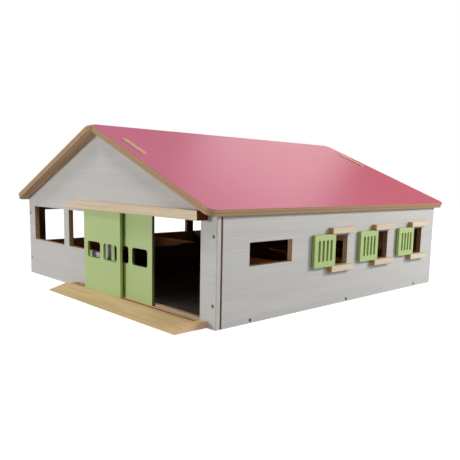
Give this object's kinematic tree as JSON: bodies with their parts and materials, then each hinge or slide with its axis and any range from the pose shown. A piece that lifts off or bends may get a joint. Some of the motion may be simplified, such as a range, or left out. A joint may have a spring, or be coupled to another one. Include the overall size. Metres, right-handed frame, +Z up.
{
  "type": "toy barn",
  "caption": "Toy barn with a lift-off pitched roof in two halves, sliding front doors, a ramp, hinged window shutters and open stalls inside.",
  "frame": {"origin": "on the ground under the middle of the house's square footprint", "axes": "+Z up, +X to the right along the front gable, +Y from the front gable to the rear one"},
  "size_m": [0.6202, 0.6775, 0.2918],
  "materials": {
    "whitewash": "matt whitewash over fine grain",
    "pink_board": "satin laminate on plywood",
    "green_board": "satin paint",
    "pine": "bare sanded pine",
    "dark_board": "matt stain",
    "veneer": "matt brown veneer",
    "steel": "satin"
  },
  "bodies": {
    "house": {"base_floor": "dark_board", "base_screws": "steel", "door_rail": "pine", "front_gable": "whitewash", "gable_screws": "steel", "hinge_pins": "steel", "left_divider_1": "veneer", "left_divider_2": "veneer", "left_stall_front": "dark_board", "left_wall": "whitewash", "lintel_1": "pine", "lintel_2": "pine", "lintel_3": "pine", "ramp": "pine", "rear_gable": "whitewash", "right_divider_1": "veneer", "right_divider_2": "veneer", "right_divider_3": "veneer", "right_stall_front": "veneer", "right_wall": "whitewash", "sill_1": "pine", "sill_2": "pine", "sill_3": "pine"},
    "roof_left": {"roof_left": "pink_board"},
    "roof_right": {"roof_right": "pink_board"},
    "front_door": {"front_door": "green_board"},
    "rear_door": {"rear_door": "green_board"},
    "shutter_1": {"shutter_1": "green_board"},
    "shutter_2": {"shutter_2": "green_board"},
    "shutter_3": {"shutter_3": "green_board"}
  },
  "joints": [
    {"name": "roof_left_lift", "type": "slide", "parent": "house", "child": "roof_left", "axis": [-0.3827, 0, 0.9239], "range_m": [0, 0.12]},
    {"name": "roof_right_lift", "type": "slide", "parent": "house", "child": "roof_right", "axis": [0.3827, 0, 0.9239], "range_m": [0, 0.12]},
    {"name": "front_door_slide", "type": "slide", "parent": "house", "child": "front_door", "axis": [1, 0, 0], "range_m": [-0.0464, 0.1882]},
    {"name": "rear_door_slide", "type": "slide", "parent": "house", "child": "rear_door", "axis": [1, 0, 0], "range_m": [-0.1234, 0.1112]},
    {"name": "shutter_1_hinge", "type": "hinge", "parent": "house", "child": "shutter_1", "pos_m": [0.30455, -0.0478, 0.09365], "axis": [0, 0, 1], "range_deg": [0, 180]},
    {"name": "shutter_2_hinge", "type": "hinge", "parent": "house", "child": "shutter_2", "pos_m": [0.30455, 0.0792, 0.09365], "axis": [0, 0, 1], "range_deg": [0, 180]},
    {"name": "shutter_3_hinge", "type": "hinge", "parent": "house", "child": "shutter_3", "pos_m": [0.30455, 0.2062, 0.09365], "axis": [0, 0, 1], "range_deg": [0, 180]}
  ]
}
